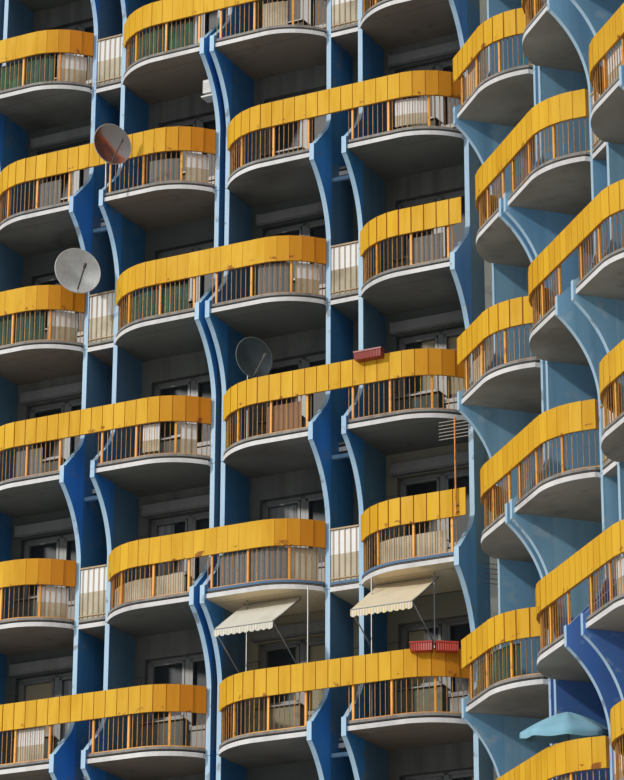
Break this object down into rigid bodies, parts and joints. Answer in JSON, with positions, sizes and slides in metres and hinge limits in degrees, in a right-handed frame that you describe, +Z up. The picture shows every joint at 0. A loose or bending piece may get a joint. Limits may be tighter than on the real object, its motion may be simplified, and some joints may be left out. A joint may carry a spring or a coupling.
{
  "type": "apartment block",
  "caption": "Bent apartment block with pairs of tall blue fins and staggered curved balconies with yellow sheet metal bands.",
  "frame": {"origin": "on the ground, at the inner corner of the front walls where the two wings meet", "axes": "+Z up, -Y from the bend to the front, +X towards the right wing"},
  "size_m": [38.7299, 19.3265, 37.3],
  "materials": {
    "concrete": "matte",
    "wall_grey": "matte",
    "wall_cream": "matte",
    "roofing": "matte",
    "fin_blue": "satin",
    "strip_blue": "satin",
    "tie_blue": "satin",
    "slab_white": "matte",
    "band_yellow": "satin",
    "post_orange": "satin",
    "panel_pale": "satin",
    "frame_white": "gloss",
    "glass_dark": "gloss",
    "door_grey": "satin",
    "dish_rust": "matte",
    "dish_pale": "satin",
    "dish_dark": "satin",
    "pole_steel": "satin",
    "awning_cloth": "matte",
    "unit_white": "matte",
    "aerial_metal": "satin",
    "box_red": "matte",
    "parasol_teal": "matte"
  },
  "bodies": {
    "root": {"foundation": "concrete", "floor_slabs_left": "concrete", "floor_slabs_right": "concrete", "roof_slab": "roofing", "roof_coping": "slab_white", "front_wall_left": "wall_grey", "front_wall_right": "wall_grey", "rear_wall_left": "wall_grey", "rear_wall_right": "wall_grey", "end_walls": "wall_grey", "corner_pier": "wall_cream", "stair_wall": "wall_grey", "front_fins_left": "fin_blue", "front_fins_right": "fin_blue", "rear_fins_left": "fin_blue", "rear_fins_right": "fin_blue", "gap_strips": "strip_blue", "tie_beams": "tie_blue", "loggia_slabs": "slab_white", "loggia_panels": "panel_pale", "front_slabs_left": "slab_white", "front_slabs_right": "slab_white", "rear_slabs_left": "slab_white", "rear_slabs_right": "slab_white", "front_bands_left": "band_yellow", "front_bands_right": "band_yellow", "rear_bands_left": "band_yellow", "rear_bands_right": "band_yellow", "front_rails": "post_orange", "rear_rails": "post_orange", "stair_frames": "frame_white", "glass": "glass_dark", "doors": "door_grey", "entrance_steps": "concrete", "lift_house": "wall_grey", "lift_house_roof": "roofing", "rusty_dish": "dish_rust", "pale_dish": "dish_pale", "dark_dish": "dish_dark", "dish_poles": "pole_steel", "awnings": "awning_cloth", "wall_unit": "unit_white", "aerials": "aerial_metal", "flower_boxes": "box_red", "parasol": "parasol_teal"}
  },
  "joints": []
}
